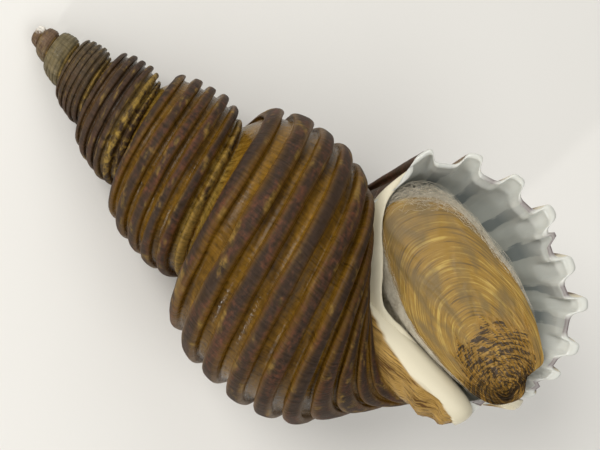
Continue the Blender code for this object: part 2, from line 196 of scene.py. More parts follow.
def turned(turns, flat):
    # a section's point in space: earlier turns go down behind the aperture, and the spire is a little bent
    angle = 2 * np.pi * (-turns - growth["lipAdvance"] * spread(turns))
    low, high = growth["bendSpan"]
    bend = growth["bend"] * np.sin(np.pi * np.clip((flat[..., 0] - low) / (high - low), 0, 1)) ** 2
    return np.stack([flat[..., 0], flat[..., 1] * np.cos(angle) - bend, -flat[..., 1] * np.sin(angle)], -1)


lay = (Matrix.Rotation(math.radians(growth["pitch"]), 3, "Y")
       @ Matrix.Rotation(math.radians(growth["roll"]), 3, "X"))


def toFrame(points, floor=0.0):
    # rolls and pitches the shell to where it lies, with its lowest spots worn flat, and turns mm to metres
    laid = np.asarray(points, float) @ np.array(lay).T + growth["place"]
    if floor is not None:
        laid[..., 2] = np.maximum(laid[..., 2], floor)
    return laid * 0.001


def fromFrame(points):
    # the way back: metres in the frame to the shell's own millimetres
    return (np.asarray(points, float) * 1000 - growth["place"]) @ np.array(lay)


def gridQuads(index, closed=False):
    # quads between neighbouring rows and columns of point numbers, facing along (down the rows) x (across)
    if closed:
        index = np.hstack([index, index[:, :1]])
    return np.stack([index[:-1, :-1], index[1:, :-1], index[1:, 1:], index[:-1, 1:]], -1).reshape(-1, 4)


def numbered(points):
    # the points' numbers, in the rows and columns of their grid
    return np.arange(points.size // 3).reshape(points.shape[:-1])


def addObject(name, data):
    thing = bpy.data.objects.new(name, data)
    bpy.context.scene.collection.objects.link(thing)
    return thing


def makePiece(name, points, quads, values, material, same=None):
    # a mesh from points and quads of point numbers; same[i] is the point that stands for point i, a quad
    # that this folds to a line is dropped, and values are laid on the faces' corners
    joined = quads if same is None else same[quads]
    corners = [[v for k, v in enumerate(q) if v != q[k - 1]] for q in joined.tolist()]
    kept = [k for k, c in enumerate(corners) if len(c) > 2]
    source = np.concatenate([[v for m, v in enumerate(q) if j[m] != j[m - 1]]
                             for q, j in zip(quads[kept].tolist(), joined[kept].tolist())])
    used, flat = np.unique(np.concatenate([corners[k] for k in kept]), return_inverse=True)
    sizes = np.array([len(corners[k]) for k in kept])
    mesh = bpy.data.meshes.new(name)
    mesh.vertices.add(len(used))
    mesh.vertices.foreach_set("co", points.reshape(-1, 3)[used].ravel())
    mesh.loops.add(len(flat))
    mesh.loops.foreach_set("vertex_index", flat.astype(np.int32))
    mesh.polygons.add(len(sizes))
    mesh.polygons.foreach_set("loop_start", np.concatenate([[0], np.cumsum(sizes)[:-1]]).astype(np.int32))
    for title, grid in values.items():
        wide = grid.reshape(points.reshape(-1, 3).shape[0], -1)[source]
        kind, field = ("FLOAT_VECTOR", "vector") if wide.shape[1] == 3 else ("FLOAT", "value")
        mesh.attributes.new(title, kind, "CORNER").data.foreach_set(field, wide.ravel())
    mesh.update(calc_edges=True)
    mesh.validate()
    mesh.shade_smooth()
    mesh.materials.append(material)
    print(f"{name}: {len(mesh.vertices)} points, {len(mesh.polygons)} faces")
    return addObject(name, mesh)


def hexColour(text):
    # sRGB hex to linear, with alpha 1
    values = [int(text[k:k + 2], 16) / 255 for k in (1, 3, 5)]
    return [v / 12.92 if v <= 0.04045 else ((v + 0.055) / 1.055) ** 2.4 for v in values] + [1.0]


def addNode(tree, kind, sockets=(), out=None, stops=None, **settings):
    # adds a shader node; sockets, in order or by name, take a value, a hex colour or another node's output,
    # and stops are a colour ramp's (place, colour)
    node = tree.nodes.new("ShaderNode" + kind)
    for name, value in settings.items():
        setattr(node, name, value)
    ordered = zip([s.identifier for s in node.inputs], sockets)
    for name, value in sockets.items() if isinstance(sockets, dict) else ordered:
        socket = next(s for s in node.inputs if name in (s.identifier, s.name))
        if isinstance(value, bpy.types.NodeSocket):
            tree.links.new(value, socket)
        else:
            socket.default_value = hexColour(value) if isinstance(value, str) else value
    if stops:
        elements = node.color_ramp.elements
        elements.remove(elements[-1])
        elements[0].position, elements[0].color = stops[0][0], hexColour(stops[0][1])
        for place, colour in stops[1:]:
            elements.new(place).color = hexColour(colour)
    return node.outputs[out] if out else next(s for s in node.outputs if s.enabled)


def startMaterial(name):
    material = bpy.data.materials.new(name)
    material.use_nodes = True
    tree = material.node_tree
    tree.nodes.clear()
    return material, tree


def finishMaterial(tree, sockets):
    shader = addNode(tree, "BsdfPrincipled", sockets)
    tree.links.new(shader, tree.nodes.new("ShaderNodeOutputMaterial").inputs["Surface"])


# Periostracum over calcite: a thin horny skin, purple-brown and matt where the cords are rubbed, rust where
# it is worn thin, and olive gold and varnished-looking in the channels, all crossed by fine growth lines.
skin = {
    # noise stretched over the growth: mm along it, mm across it, distortion
    "lines": (0.45, 5.0, 0.0), "patches": (13.0, 4.5, 0.4), "mottleSize": 1.1,
    "channel": "#735318", "channelDark": "#4b3413", "flank": "#573c16", "shoulder": "#433019",
    "crest": "#35281e", "rust": "#603621", "ochre": "#8f7434", "dusk": "#3a2c22", "olive": "#6b6146",
    "mauve": "#604b3a", "tip": "#ece6da", "callus": "#d3cab0", "neckGold": "#a07f44",
    "neckBrown": "#4b3220",
    # whorl by whorl, dusky from the third on: colour, turns where it starts and is full, most of it
    "ages": [("dusk", -1.9, -2.4, 0.8), ("olive", -3.3, -4.3, 0.75), ("mauve", -5.2, -5.5, 0.9),
             ("tip", -6.5, -6.6, 1.0)],
}


def periostracumMaterial():
    material, tree = startMaterial("periostracum over calcite")
    place = addNode(tree, "Attribute", out="Vector", attribute_name="growth")
    turns, lift, white, neckShare, crumb = [
        addNode(tree, "Attribute", out="Fac", attribute_name=name)
        for name in ("turns", "lift", "white", "neck", "crumb")]
    streaks = []
    for along, across, distortion in (skin["lines"], skin["patches"]):
        at = addNode(tree, "Mapping", {"Vector": place, "Scale": (1 / along, 1 / across, 1)})
        streaks.append(addNode(tree, "TexNoise", {
            "Vector": at, "Scale": 1.0, "Detail": 3.0, "Roughness": 0.6, "Distortion": distortion}))
    lines, patches = streaks
    mottle = addNode(tree, "TexNoise", {
        "Vector": place, "Scale": 1 / skin["mottleSize"], "Detail": 4.0, "Roughness": 0.65})
    # from the channel's floor up to the crest, with a wandering edge between the tones
    wobble = addNode(tree, "Math", [mottle, 0.8, -0.4], operation="MULTIPLY_ADD")
    worn = addNode(tree, "Math", [lift, wobble], operation="ADD")
    base = addNode(tree, "ValToRGB", {"Fac": worn}, stops=[
        (0.0, skin["channel"]), (0.27, skin["channel"]), (0.47, skin["flank"]), (0.75, skin["shoulder"]),
        (0.98, skin["crest"])])
    deep = addNode(tree, "MapRange", [patches, 0.38, 0.62])
    low = addNode(tree, "MapRange", [lift, 0.45, 0.1, 0.0, 0.85])
    shade = addNode(tree, "Math", [deep, low], operation="MULTIPLY")
    rusty = addNode(tree, "Math", [patches, mottle], operation="ADD")
    rust = addNode(tree, "MapRange", [rusty, 0.98, 1.34, 0.0, 0.65])
    high = addNode(tree, "MapRange", [lift, 0.3, 0.7])
    rust = addNode(tree, "Math", [rust, high], operation="MULTIPLY")
    layers = [("channelDark", shade), ("rust", rust)]
    age = addNode(tree, "Math", [mottle, 0.5, turns], operation="MULTIPLY_ADD")
    for colour, start, full, most in skin["ages"]:
        layers.append((colour, addNode(tree, "MapRange", [age, start, full, 0.0, most])))
    flecks = addNode(tree, "MapRange", [rusty, 0.86, 1.06, 0.0, 0.85])
    flecks = addNode(tree, "Math", [flecks, crumb], operation="MULTIPLY")
    for colour, share in layers + [("ochre", flecks)]:
        base = addNode(tree, "Mix", {
            "Factor_Float": share, "A_Color": base, "B_Color": skin[colour]}, data_type="RGBA")
    neckTone = addNode(tree, "Math", [rusty, 0.5], operation="MULTIPLY")
    neckRamp = addNode(tree, "ValToRGB", {"Fac": neckTone}, stops=[
        (0.4, skin["neckBrown"]), (0.47, skin["neckGold"]), (0.54, skin["neckGold"]), (0.6, skin["flank"]),
        (0.66, skin["neckBrown"])])
    base = addNode(tree, "Mix", {"Factor_Float": neckShare, "A_Color": base, "B_Color": neckRamp},
                   data_type="RGBA")
    grain = addNode(tree, "Math", [mottle, lines], operation="ADD")
    tone = addNode(tree, "MapRange", [grain, 0.7, 1.3, 0.5, 1.5])
    base = addNode(tree, "VectorMath", {"Vector": base, "Scale": tone}, operation="SCALE")
    base = addNode(tree, "Mix", {
        "Factor_Float": white, "A_Color": base, "B_Color": skin["callus"]}, data_type="RGBA")
    gloss = addNode(tree, "MapRange", [worn, 0.0, 0.9, 0.15, 0.6])
    gloss = addNode(tree, "Mix", {"Factor_Float": white, "A_Float": gloss, "B_Float": 0.2})
    # growth lines and grain stand out everywhere but on the callus
    height = addNode(tree, "Math", [mottle, 0.35, lines], operation="MULTIPLY_ADD")
    bare = addNode(tree, "Math", [1.0, white], operation="SUBTRACT")
    height = addNode(tree, "Math", [height, bare], operation="MULTIPLY")
    bump = addNode(tree, "Bump", {"Height": height, "Strength": 0.5, "Distance": 0.0003})
    finishMaterial(tree, {"Base Color": base, "Roughness": gloss, "Normal": bump, "IOR": 1.42,
                          "Specular IOR Level": 0.15})
    return material


# Porcelaneous shell lining: dense crossed layers of lime, milk white where it is thick and a cool grey
# where light sinks into it between the cords, with a wet-looking gloss.
pearl = {
    # deep is painted shade: the colour the lining darkens to far back in the aperture
    "white": "#a7aaa3", "grey": "#7a8180", "deep": "#75756b", "edge": "#4d2b33", "rim": "#d5d3c8",
    "lineSpacing": 0.8, "lineReach": 12.0, "cloudSize": 6.0,
}


def porcelainMaterial():
    material, tree = startMaterial("porcelain white shell lining")
    place = addNode(tree, "Attribute", out="Vector", attribute_name="growth")
    lift, turns, edge = [addNode(tree, "Attribute", out="Fac", attribute_name=name)
                         for name in ("lift", "turns", "white")]
    clouds = addNode(tree, "TexNoise", {
        "Vector": place, "Scale": 1 / pearl["cloudSize"], "Detail": 3.0, "Roughness": 0.5})
    linePlace = addNode(tree, "Mapping", {
        "Vector": place, "Scale": (1 / pearl["lineReach"], 1 / pearl["lineSpacing"], 1)})
    lines = addNode(tree, "TexNoise", {"Vector": linePlace, "Scale": 1.0, "Detail": 2.0})
    cloudy = addNode(tree, "Math", [clouds, 0.9, lift], operation="MULTIPLY_ADD")
    cloudy = addNode(tree, "Math", [lines, 0.6, cloudy], operation="MULTIPLY_ADD")
    base = addNode(tree, "ValToRGB", {"Fac": cloudy}, stops=[
        (0.9, pearl["grey"]), (1.5, pearl["white"])])
    rim = addNode(tree, "MapRange", [turns, -0.03, -0.004, 0.0, 0.6])
    # painted shade: the lining darkens towards the deep colour the further it goes back into the aperture
    deep = addNode(tree, "MapRange", [turns, -0.08, -0.3, 0.0, 0.6])
    for colour, share in [("rim", rim), ("deep", deep), ("edge", edge)]:
        base = addNode(tree, "Mix", {"Factor_Float": share, "A_Color": base,
                                     "B_Color": pearl[colour]}, data_type="RGBA")
    bump = addNode(tree, "Bump", {"Height": lines, "Strength": 0.25, "Distance": 0.0002})
    finishMaterial(tree, {"Base Color": base, "Roughness": 0.38, "Normal": bump, "IOR": 1.55,
                          "Subsurface Weight": 0.25, "Subsurface Radius": (1.0, 0.9, 0.8),
                          "Subsurface Scale": 0.0015, "Coat Weight": 0.15, "Coat Roughness": 0.15})
    return material


outside = {
    "rowsPerTurn": [156, 156, 78, 78, 39, 39, 39],  # from the last whorl back to the first
    "innerTurns": 0.36,  # how far the surface goes on inside the aperture, under the last whorl
    "tip": (-0.25, 0.0, 0.0),  # the point that closes the first turn
    # half a cord, and half a finger of the lip, from crest to channel: distance in cords and lift
    "halfCord": [(0.0, 1.03), (0.1, 1.02), (0.18, 0.98), (0.24, 0.9), (0.28, 0.78), (0.3, 0.63),
                 (0.285, 0.46), (0.26, 0.28), (0.28, 0.12), (0.345, 0.03), (0.5, 0.0)],
    "halfFinger": [(0.0, 1.05), (0.06, 1.045), (0.11, 1.01), (0.15, 0.92), (0.175, 0.77), (0.19, 0.59),
                   (0.21, 0.4), (0.24, 0.22), (0.29, 0.09), (0.37, 0.01), (0.5, 0.0)],
    # the first finger is wider on its upper side: a plain one's distance and the one it gets
    "firstFinger": [(0.0, 0.0), (0.06, 0.15), (0.15, 0.26), (0.19, 0.3), (0.29, 0.41), (0.5, 0.52)],
    "chip": (4, [(0.195, 0.4), (0.235, 0.16), (0.3, 0.12), (0.35, 0.5), (0.42, 0.52)]),  # broken extra tip
    "lastCord": [(0.13, 1.01), (0.2, 0.97), (0.25, 0.92), (0.3, 0.7), (0.35, 0.5)],
    "start": [0.0, 0.07, 0.15, 0.24, 0.33, 0.42], "neckPoints": 32,
    "widthNoise": 0.22, "heightNoise": 0.1, "swayNoise": 0.07, "waveTurns": 0.06, "flankLift": (0.3, 0.4),
    "scallopCord": 9, "scallopLift": 0.5,  # the lip's lowest tips are joined to a scalloped edge
    # where a cord is wider than the rest: turns and their span, cord and its span, how much
    "flares": [(-0.52, 0.09, 7.6, 1.6, 0.55), (-1.0, 0.06, 2.0, 1.6, 0.35)],
    # a crest is most worn in a band that wanders and changes in width, and chipped here and there
    "rubbed": 0.4, "bandWander": 0.1, "bandHalf": (0.07, 0.05), "bandFade": 0.2,
    "chipped": 0.5, "chipNoise": (0.25, 0.3), "chipLift": (0.5, 0.3),
    # areas of the skin, each a ramp across the cords and one along the turns
    "areas": {
        "canal": ((9.2, 0.5), (-0.17, 0.06)),  # lime laps over the canal's edge
        "fingerEdge": ((2.4, 0.4), (-0.012, 0.008)),  # and over the very edge of the fingers
        "sheet": ((1.1, -0.4), (-0.3, 0.15)),  # dark thin sheet above the first finger
        "seamAbove": ((5.3, 0.4), (-0.98, -0.06)),  # crumbling skin along the suture
        "thirdWhorl": ((3.9, 1.2), (-2.0, -0.3)),
    },
    "seamBelow": (0.5, -0.3), "thirdEnd": (-3.2, 0.3), "neckCords": (10.2, 0.4),
}


def cordColumns():
    # across the shell: cord, shift and lift of a cord and of a finger of the lip, for each column
    columns = [(key, 0.0, 0.0, 0.0, 0.0) for key in outside["start"]]
    halves = list(zip(outside["halfCord"], outside["halfFinger"]))
    both = [((-c[0], c[1]), (-f[0], f[1])) for c, f in reversed(halves)] + halves[1:-1]
    chipped, chip = outside["chip"]
    last = len(growth["crests"])
    for number in range(1, last):
        fingers = [f for c, f in both]
        if number == 1:
            fingers = [(-np.interp(-du, *zip(*outside["firstFinger"])) if du < 0 else du, lift)
                       for du, lift in fingers]
        if number == chipped:
            fingers[-len(chip):] = chip
        if number >= outside["scallopCord"]:
            fingers = [(du, mix(outside["scallopLift"], 1.0, lift)) for du, lift in fingers]
        columns += [(number, *c, *f) for (c, _), f in zip(both, fingers)]
    columns += [(last, *c, *f) for c, f in both[:len(halves)]]
    columns += [(last, du, lift, du, lift) for du, lift in outside["lastCord"]]
    neckCords = np.linspace(growth["neckStart"] + 0.001, growth["neckEnd"], outside["neckPoints"])
    columns += [(cord, 0.0, 0.0, 0.0, 0.0) for cord in neckCords]
    return np.array(columns).T


def cordGrid(turns):
    # cord and lift at every row and column: a mushroom-shaped cord that turns into a finger at the lip,
    # with its width, height and place wandering along the growth
    number, du, lift, fingerDu, fingerLift = cordColumns()
    flare = spread(turns)[:, None]
    t = turns[:, None]
    along = t / outside["waveTurns"]
    wide = outside["widthNoise"] * rough(along, number * 3.7, 1)
    for centre, span, cord, cordSpan, extra in outside["flares"]:
        wide = wide + extra * np.exp(-((t - centre) / span) ** 2 - ((number - cord) / cordSpan) ** 2)
    sway = outside["swayNoise"] * rough(along / 2, number * 5.3, 2)
    high = 1 + outside["heightNoise"] * rough(along * 1.5, number * 4.1, 4)
    isCord = (number == np.floor(number)) & (number >= 1)
    high = np.where(isCord, high, 1.0)
    flank = ramp(lift, *outside["flankLift"])
    shift = du * (1 + wide * flank) + sway * (1 - np.abs(2 * du)) * isCord
    cord = number + mix(shift, fingerDu, flare)
    return cord, mix(lift * high, fingerLift, flare)


def growthPlace(turns, cord):
    # (distance along the growth, distance across it) in mm, for patterns
    along = growth["patternLength"] * growth["radial"] ** turns
    across = cord * growth["cordSpacing"] * growth["axial"] ** turns
    return np.stack(np.broadcast_arrays(along, across, 0 * along), -1)


def area(name, turns, cord):
    # 1 inside an area of the skin and 0 outside it: one ramp times the other
    across, along = outside["areas"][name]
    return ramp(cord, *across) * ramp(turns, *along)


def buildOutside(material):
    # rows go along the growth from the tip to the lip and columns across the cords; the last column of a
    # younger row is the columella's tip, and the suture is the weld point of the row one turn before
    turns = [0.0]
    for whorl, rows in enumerate(outside["rowsPerTurn"]):
        turns += list(-whorl - np.arange(1, rows + 1) / rows)
    turns = np.array(turns[::-1])
    cord, lift = cordGrid(turns)
    t = turns[:, None]
    points = toFrame(turned(t, section(t, cord, lift)))
    number, du = cordColumns()[:2]
    weld = int(np.argmin(np.abs(number + du - growth["weldCord"])))
    index = numbered(points)
    same = index.copy()
    for row in range(len(turns)):
        before = np.flatnonzero(np.abs(turns - (turns[row] - 1)) < 1e-9)
        if len(before):
            same[row, 0] = index[before[0], weld]
    same[:, -1] = index[-1, -1]
    same[0, :weld + 1] = same[0, 0]
    points[0, 0] = toFrame(outside["tip"])
    firstTurn = np.flatnonzero(turns < 1 - growth["turns"] - 1e-9)
    same[firstTurn, 0] = index[0, 0]
    inner = np.flatnonzero(turns > -1 - outside["innerTurns"])
    quads = np.vstack([gridQuads(index[:, :weld + 1]), gridQuads(index[inner][:, weld:])])
    edges = np.maximum(area("canal", t, cord), area("fingerEdge", t, cord))
    whiteness = np.maximum(callus(t, cord), edges)
    sheet = area("sheet", t, cord)
    seam = area("seamAbove", t, cord) + ramp(cord, *outside["seamBelow"])
    third = area("thirdWhorl", t, cord) * ramp(t, *outside["thirdEnd"])
    along = t / outside["waveTurns"]
    middle = outside["bandWander"] * rough(along / 2.5, number * 2.9, 6)
    least, more = outside["bandHalf"]
    half = least + more * rough(along / 1.5, number * 6.1, 7)
    rubbed = lift * (1 - outside["rubbed"] * ramp(np.abs(du - middle), half, outside["bandFade"]))
    chips = outside["chipped"] * ramp(rough(along * 3, cord * 4, 2), *outside["chipNoise"])
    chips = chips * ramp(lift, *outside["chipLift"])
    values = {"growth": growthPlace(t, cord), "turns": t + 0 * cord, "white": whiteness,
              "neck": ramp(cord, *outside["neckCords"]), "lift": mix(mix(rubbed, 0.6, whiteness), 0.9, sheet),
              "crumb": np.clip(0.7 * seam + third + chips, 0, 1) * (1 - sheet)}
    return makePiece("shellOutside", points, quads, values, material, same.ravel())


lining = {
    "rimSteps": 6, "rimAdvance": 0.0022, "rimThickness": 1.0, "backRows": 64, "backTurns": 0.36,
    # by turns back from the lip: the wall's thickness, and how far grooves and ridges stand under the cords
    "walls": [(0.0, 1.0), (0.006, 1.5), (0.035, 1.9), (0.07, 2.2), (0.11, 2.4), (0.22, 2.6), (0.36, 3.2)],
    "grooves": [(0.0, 0.9), (0.006, 0.7), (0.02, 0.34), (0.045, 0.14), (0.09, 0.05), (0.2, 0.0)],
    "ridges": [(0.0, 0.0), (0.02, 0.1), (0.05, 0.17), (0.1, 0.1), (0.16, 0.0)],
    "ridgeCords": ((3.2, 0.8), (10.2, -0.5)),  # ridges between these cords, grooves above and below
    "tipTurns": 0.022, "tipLift": 0.95, "blunt": 0.8,  # the fingers' hollows and their thicker tips
    "topCord": 6.55, "pillarNear": 0.80, "pillarFar": 0.60, "pillarTurns": 0.3,
    "topBlend": (0.0, 1.1), "bottomBlend": (9.6, 2.2), "endShares": (0.25, 0.5, 0.75, 1.0),
    # dark skin shows along the rim between the fingers
    "gapWave": (0.45, 0.4), "gapTurns": (0.004, -0.003), "gapCords": (2.2, 0.5), "gapMost": 0.8,
}


def innerWall(back, cord, lift, thickness):
    # the outside's outline moved in by the wall, running to the older whorl at its top and bottom
    turns = -back
    moved = grown(turns, cord, profile(cord, lift)) - thickness[..., None] * outward(cord)
    end = mix(lining["pillarNear"], lining["pillarFar"], smooth(back / lining["pillarTurns"]))
    top = section(turns - 1, np.full(cord.shape, lining["topCord"]), growth["callusLift"])
    bottom = neck(turns - 1, mix(growth["neckStart"], growth["neckEnd"], end) + 0 * cord)
    moved = mix(top, moved, ramp(cord, *lining["topBlend"])[..., None])
    return mix(moved, bottom, ramp(cord, *lining["bottomBlend"])[..., None])


def buildLining(material):
    # from the lip's outer edge round the rim, back along the inside of the outer wall, and across its end
    number, _, _, fingerDu, fingerLift = cordColumns()
    cord = number + fingerDu
    lip = section(np.zeros_like(cord), cord, fingerLift)
    tipLift = fingerLift * lining["tipLift"]
    backs = lining["backTurns"] * np.linspace(0, 1, lining["backRows"] + 1)[1:] ** 1.5
    rows, turnRows = [], []
    wave = 0.5 + 0.5 * np.cos(2 * np.pi * cord)
    first, last = lining["ridgeCords"]
    ridged = ramp(cord, *first) * ramp(cord, *last)
    blunt = lining["blunt"] * wave * ridged
    full = innerWall(np.zeros_like(cord), cord, tipLift, lining["rimThickness"] + blunt)
    for s in np.linspace(0, 1, lining["rimSteps"] + 1):
        turns = lining["rimAdvance"] * math.sin(math.pi * s)
        rows.append(turned(np.full(cord.shape, turns), mix(lip, full, (1 - math.cos(math.pi * s)) / 2)))
        turnRows.append(turns)
    for back in backs:
        groove = np.interp(back, *zip(*lining["grooves"])) * wave
        ridge = -np.interp(back, *zip(*lining["ridges"])) * wave ** 2
        tip = smooth(back / lining["tipTurns"])
        inside = mix(tipLift, mix(groove, ridge, ridged), tip)
        thickness = np.interp(back, *zip(*lining["walls"])) + blunt * (1 - tip)
        at = np.full(cord.shape, back)
        rows.append(turned(-at, innerWall(at, cord, inside, thickness)))
        turnRows.append(-back)
    nearEnd = rows[-1]
    pillarCord = mix(growth["neckStart"], growth["neckEnd"], lining["pillarFar"])
    older = mix(lining["topCord"], pillarCord, cord / growth["neckEnd"])
    before = np.full(cord.shape, -1 - lining["backTurns"])
    farEnd = turned(before, section(before, older, growth["callusLift"]))
    for s in lining["endShares"]:
        rows.append(mix(nearEnd, farEnd, s))
        turnRows.append(-lining["backTurns"])
    points = toFrame(np.array(rows))
    t = np.array(turnRows)[:, None]
    index = numbered(points)
    band = 0.5 + 0.5 * np.cos(2 * np.pi * np.clip(cord, 1, 10)) + 0 * t
    dark = ramp(0.5 - 0.5 * np.cos(2 * np.pi * cord), *lining["gapWave"])
    dark = dark * ramp(np.abs(t), *lining["gapTurns"]) * ramp(cord, *lining["gapCords"])
    dark = dark * (np.arange(len(t))[:, None] < lining["rimSteps"] - 1) * lining["gapMost"]
    values = {"growth": growthPlace(t, cord), "turns": t + 0 * cord, "lift": band, "white": dark}
    return makePiece("shellLining", points, gridQuads(index), values, material)


innerLip = {
    # x, y, z, half its width and half its depth, in mm, from the first finger down to the columella
    "path": [(66.4, 26.0, 0.2, 0.35, 0.4), (66.2, 24.0, 0.7, 0.40, 0.5), (66.0, 21.8, 1.2, 0.45, 0.7),
             (66.2, 18.9, 2.0, 0.50, 1.2), (67.5, 15.8, 3.0, 0.55, 2.4), (69.4, 12.9, 4.0, 0.75, 3.0),
             (71.4, 10.5, 4.6, 1.05, 3.2), (73.5, 8.2, 4.6, 0.95, 3.2), (75.5, 5.8, 4.2, 0.80, 3.2),
             (77.5, 4.1, 3.6, 0.85, 3.0), (79.6, 3.2, 3.3, 0.95, 2.8), (82.6, 2.9, 2.9, 1.05, 2.6),
             (86.0, 2.4, 2.2, 1.15, 2.2), (89.5, 1.8, 1.2, 1.10, 1.8)],
    "steps": 260, "sides": 28, "lean": 50.0, "wobble": 0.2, "patternSize": (60.0, 3.0),
}


def buildInnerLip(material):
    # a drop-shaped section carried along the path: its round head is the lip's free edge, and its body
    # leans back from the aperture and down into the older whorl
    rows = curve(innerLip["path"], np.linspace(0, len(innerLip["path"]) - 1, innerLip["steps"] + 1))
    head = rows[:, :3]
    ahead = np.gradient(head, axis=0) * [1, 1, 0]
    ahead /= np.linalg.norm(ahead, axis=1, keepdims=True)
    out = np.stack([-ahead[:, 1], ahead[:, 0], 0 * ahead[:, 0]], -1)
    up = np.array([0.0, 0.0, 1.0])
    lean = math.radians(innerLip["lean"])
    deep, wide = out * math.cos(lean) + up * math.sin(lean), up * math.cos(lean) - out * math.sin(lean)
    along = np.linspace(0, 1, len(rows))
    ends = np.sqrt(np.clip(1 - (2 * along - 1) ** 20, 0, 1))
    half = rows[:, 3] * ends * (1 + innerLip["wobble"] * rough(along * 16, along * 3, 6))
    length = np.maximum(rows[:, 4] * ends, half)
    angle = 2 * np.pi * np.arange(innerLip["sides"])[None, :] / innerLip["sides"]
    back = (1 - np.cos(angle)) / 2
    reach = length[:, None] * np.cos(angle) - (length - half)[:, None]
    across = half[:, None] * np.sin(angle) * (1 + 0.9 * back)
    points = head[:, None] + reach[..., None] * deep[:, None] + across[..., None] * wide[:, None]
    index = numbered(points)
    same = index.copy()
    same[0], same[-1] = index[0, 0], index[-1, 0]
    length, girth = innerLip["patternSize"]
    place = np.stack(np.broadcast_arrays(length * along[:, None], girth * angle, 0 * angle), -1)
    none = 0 * place[..., 0]
    values = {"growth": place, "turns": none, "lift": none + 0.6, "white": none + 1, "neck": none,
              "crumb": none}
    quads = gridQuads(index, closed=True)
    return makePiece("innerLip", toFrame(points), quads, values, material, same.ravel())


# Operculum horn: a protein plate laid down in thin sheets about its nucleus, golden tan with a silky
# sheen, frayed to dark flakes where it is oldest.
horn = {
    "outline": [(67.3, 17.8), (69.9, 22.8), (74.5, 25.5), (80.2, 25.5), (85.8, 24.4), (92.6, 22.8),
                (98.6, 20.2), (102.8, 17.3), (104.9, 15.1), (104.3, 11.9), (106.0, 8.4), (103.9, 4.6),
                (100.4, 3.2), (95.8, 3.2), (90.0, 3.7), (84.2, 4.7), (79.0, 6.7), (74.0, 9.8), (70.0, 13.0)],
    "nucleus": (103.2, 7.2), "calm": 22,  # and how many points each way the inner rings are averaged over
    "edgeHeight": 2.4, "rise": 3.2, "riseEnds": (67.3, 100.5), "dome": 1.8, "thickness": 1.8,
    "oval": ((86.5, 14.2), (21.5, 10.5), -0.22),  # middle, half sizes and turn of the dome's oval
    "frayed": (99.8, 8.8), "frayedSize": (6.4, 9.6),  # middle and half sizes of the frayed part, right and up
    "lineCount": 24, "foldCount": 6, "ledgeCount": 17, "lineHeight": 0.09, "foldHeight": 0.2,
    "around": 360, "rings": 190, "edgeRings": 8, "underRings": 12,
    # noise in rings: mm from one to the next, stretch along them, detail, roughness, distortion
    "lines": (0.35, 0.06, 3.0, 0.6, 0.0), "bands": (2.4, 0.07, 3.0, 0.6, 0.25),
    "cracks": (0.36, 0.12, 2.0, 0.5, 0.7), "stainSize": 5.0,
    "gold": "#8a6a27", "tan": "#5f4a25", "straw": "#ac8f46", "grey": "#6a5731", "umber": "#2c1f10",
    "ochre": "#99732d",
}


def plateEdge(around):
    # closed curve through the outline, once round as around goes from 0 to 1
    outline = horn["outline"]
    return curve([outline[-1]] + outline + outline[:2], 1 + len(outline) * around)


def plateRise(axial):
    # height of the plate's edge, rising evenly along the shell
    low, high = horn["riseEnds"]
    return horn["edgeHeight"] + horn["rise"] * ((axial - low) / (high - low))


